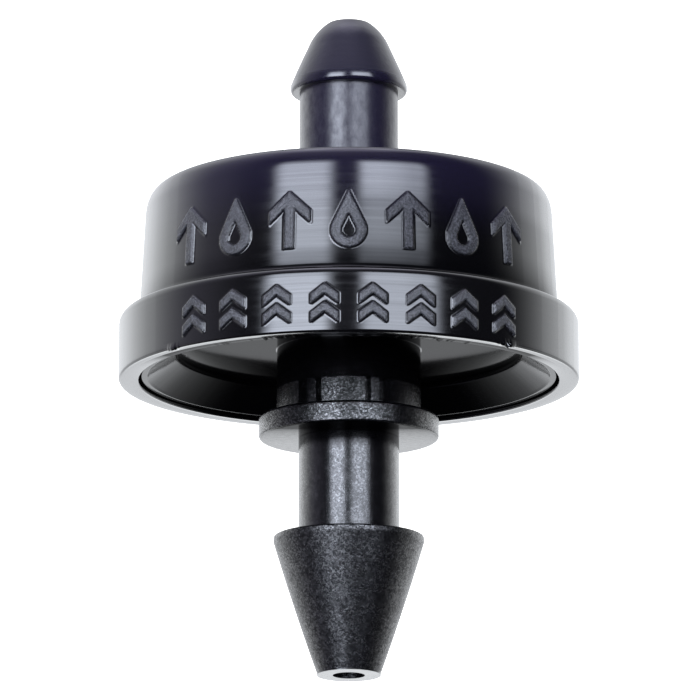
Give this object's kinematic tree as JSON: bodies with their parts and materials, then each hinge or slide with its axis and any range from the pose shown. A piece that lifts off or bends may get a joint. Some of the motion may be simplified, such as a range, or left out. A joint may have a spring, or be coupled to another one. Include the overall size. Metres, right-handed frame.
{
  "type": "drip emitter",
  "caption": "Pressure compensating on-line drip emitter: round cover with an outlet nipple, base with an inlet barb and labyrinth, and a loose silicone diaphragm between them.",
  "frame": {"origin": "on the emitter's axis, in the plane of the flange's underside that rests on the outside of the pipe", "axes": "+Z along the axis from the inlet barb to the outlet nipple; -Y is the side with the raised marks"},
  "size_m": [0.016, 0.0161, 0.0232],
  "materials": {
    "cover_plastic": "semi-gloss moulded black with fine turned lines",
    "base_plastic": "matte black with a fine spark-eroded grain",
    "silicone": "translucent milky silicone"
  },
  "bodies": {
    "housing": {"cover": "cover_plastic", "base": "base_plastic"},
    "diaphragm": {"diaphragm": "silicone"}
  },
  "joints": [
    {"name": "diaphragm_lift", "type": "slide", "parent": "housing", "child": "diaphragm", "axis": [0, 0, 1], "range_m": [0, 0.00025]}
  ]
}
